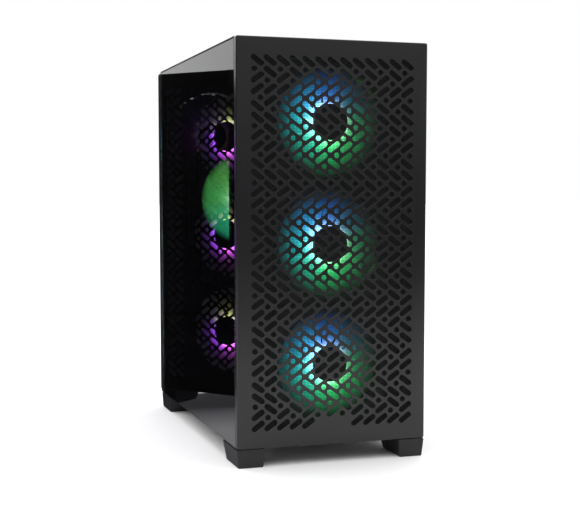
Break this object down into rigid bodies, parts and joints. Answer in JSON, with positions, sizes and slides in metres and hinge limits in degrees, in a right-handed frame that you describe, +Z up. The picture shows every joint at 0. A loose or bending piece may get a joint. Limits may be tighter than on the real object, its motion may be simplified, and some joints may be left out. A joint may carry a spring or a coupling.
{
  "type": "desktop computer tower",
  "caption": "Desktop computer tower with a slotted steel front over lit fans, a glass side panel, four feet and a complete interior.",
  "frame": {"origin": "centre of the bounding box's footprint, on the surface the feet stand on", "axes": "+Z up, -Y out of the front, -X out of the glass side"},
  "size_m": [0.21, 0.398, 0.4441],
  "materials": {
    "front_steel": "charcoal powder coat",
    "side_steel": "charcoal powder coat",
    "chassis_steel": "black powder coat",
    "smoked_glass": "tempered and lightly smoked",
    "foot_plastic": "fine grain",
    "fan_frame": "satin black",
    "front_blade": "frosted translucent, lit from the hub",
    "rear_blade": "frosted translucent, lit from the hub",
    "cooler_blade": "frosted translucent, lit from the hub",
    "black_plastic": "moulded",
    "circuit_board": "black solder mask",
    "port_metal": "stamped",
    "fin_aluminium": "bare fins",
    "filter_mesh": "fine woven mesh in a soft frame",
    "cable_sleeve": "black sleeve"
  },
  "bodies": {
    "chassis": {"board_cable": "cable_sleeve", "board_tray": "chassis_steel", "card_body": "black_plastic", "card_bracket": "port_metal", "card_cable": "cable_sleeve", "cooler_base": "fin_aluminium", "cooler_fan_frame": "fan_frame", "cooler_fins": "fin_aluminium", "drive_cage": "chassis_steel", "fan_rail_left": "chassis_steel", "fan_rail_right": "chassis_steel", "flat_drive": "black_plastic", "floor_plate": "chassis_steel", "foot_front_left": "foot_plastic", "foot_front_right": "foot_plastic", "foot_rear_left": "foot_plastic", "foot_rear_right": "foot_plastic", "front_fan_1_frame": "fan_frame", "front_fan_2_frame": "fan_frame", "front_fan_3_frame": "fan_frame", "hard_disk": "port_metal", "main_board": "circuit_board", "main_cable": "cable_sleeve", "main_plug": "black_plastic", "memory_1": "black_plastic", "memory_2": "black_plastic", "port_shield": "port_metal", "psu_case": "chassis_steel", "psu_inlet": "black_plastic", "rear_fan_frame": "fan_frame", "rear_ports": "port_metal", "rear_wall": "chassis_steel", "regulator_heatsink": "fin_aluminium", "roof_plate": "side_steel", "shroud_side": "chassis_steel", "shroud_top": "chassis_steel", "slot_cover_1": "chassis_steel", "slot_cover_2": "chassis_steel", "top_ports": "black_plastic"},
    "front_cover": {"front_panel": "front_steel"},
    "glass_side": {"glass_panel": "smoked_glass", "glass_strip": "chassis_steel", "thumbscrew_left_low": "chassis_steel", "thumbscrew_left_high": "chassis_steel"},
    "steel_side": {"steel_panel": "side_steel", "thumbscrew_right_low": "chassis_steel", "thumbscrew_right_high": "chassis_steel"},
    "upper_filter": {"top_filter": "filter_mesh"},
    "lower_filter": {"base_filter": "filter_mesh"},
    "power_key": {"power_button": "black_plastic"},
    "reset_key": {"reset_button": "black_plastic"},
    "rocker": {"psu_switch": "black_plastic"},
    "front_rotor_1": {"front_fan_1_rotor": "front_blade"},
    "front_rotor_2": {"front_fan_2_rotor": "front_blade"},
    "front_rotor_3": {"front_fan_3_rotor": "front_blade"},
    "rear_rotor": {"rear_fan_rotor": "rear_blade"},
    "cooler_rotor": {"cooler_fan_rotor": "cooler_blade"},
    "card_rotor_1": {"card_fan_1": "black_plastic"},
    "card_rotor_2": {"card_fan_2": "black_plastic"},
    "psu_rotor": {"psu_fan": "black_plastic"}
  },
  "joints": [
    {"name": "front_cover_pull", "type": "slide", "parent": "chassis", "child": "front_cover", "axis": [0, -1, 0], "range_m": [0, 0.03]},
    {"name": "glass_side_slide", "type": "slide", "parent": "chassis", "child": "glass_side", "axis": [0, 1, 0], "range_m": [0, 0.02]},
    {"name": "steel_side_slide", "type": "slide", "parent": "chassis", "child": "steel_side", "axis": [0, 1, 0], "range_m": [0, 0.02]},
    {"name": "upper_filter_lift", "type": "slide", "parent": "chassis", "child": "upper_filter", "axis": [0, 0, 1], "range_m": [0, 0.02]},
    {"name": "lower_filter_slide", "type": "slide", "parent": "chassis", "child": "lower_filter", "axis": [0, 1, 0], "range_m": [0, 0.16]},
    {"name": "power_press", "type": "slide", "parent": "chassis", "child": "power_key", "axis": [0, 0, -1], "range_m": [0, 0.0015], "stiffness_N_per_m": 400, "springref_m": -0.001},
    {"name": "reset_press", "type": "slide", "parent": "chassis", "child": "reset_key", "axis": [0, 0, -1], "range_m": [0, 0.0012], "stiffness_N_per_m": 300, "springref_m": -0.001},
    {"name": "rocker_tilt", "type": "hinge", "parent": "chassis", "child": "rocker", "pos_m": [-0.022, 0.186, 0.088], "axis": [1, 0, 0], "range_deg": [0, 12]},
    {"name": "front_fan_1_spin", "type": "hinge", "parent": "chassis", "child": "front_rotor_1", "pos_m": [0, -0.179, 0.1035], "axis": [0, 1, 0], "continuous": true},
    {"name": "front_fan_2_spin", "type": "hinge", "parent": "chassis", "child": "front_rotor_2", "pos_m": [0, -0.179, 0.231], "axis": [0, 1, 0], "continuous": true},
    {"name": "front_fan_3_spin", "type": "hinge", "parent": "chassis", "child": "front_rotor_3", "pos_m": [0, -0.179, 0.3585], "axis": [0, 1, 0], "continuous": true},
    {"name": "rear_fan_spin", "type": "hinge", "parent": "chassis", "child": "rear_rotor", "pos_m": [-0.035, 0.1755, 0.3595], "axis": [0, 1, 0], "continuous": true},
    {"name": "cooler_fan_spin", "type": "hinge", "parent": "chassis", "child": "cooler_rotor", "pos_m": [-0.018, 0.0712, 0.2775], "axis": [0, 1, 0], "continuous": true},
    {"name": "card_fan_1_spin", "type": "hinge", "parent": "chassis", "child": "card_rotor_1", "pos_m": [0.01, 0.02, 0.173], "axis": [0, 0, 1], "continuous": true},
    {"name": "card_fan_2_spin", "type": "hinge", "parent": "chassis", "child": "card_rotor_2", "pos_m": [0.01, 0.122, 0.173], "axis": [0, 0, 1], "continuous": true},
    {"name": "psu_fan_spin", "type": "hinge", "parent": "chassis", "child": "psu_rotor", "pos_m": [-0.001, 0.116, 0.0355], "axis": [0, 0, 1], "continuous": true}
  ]
}
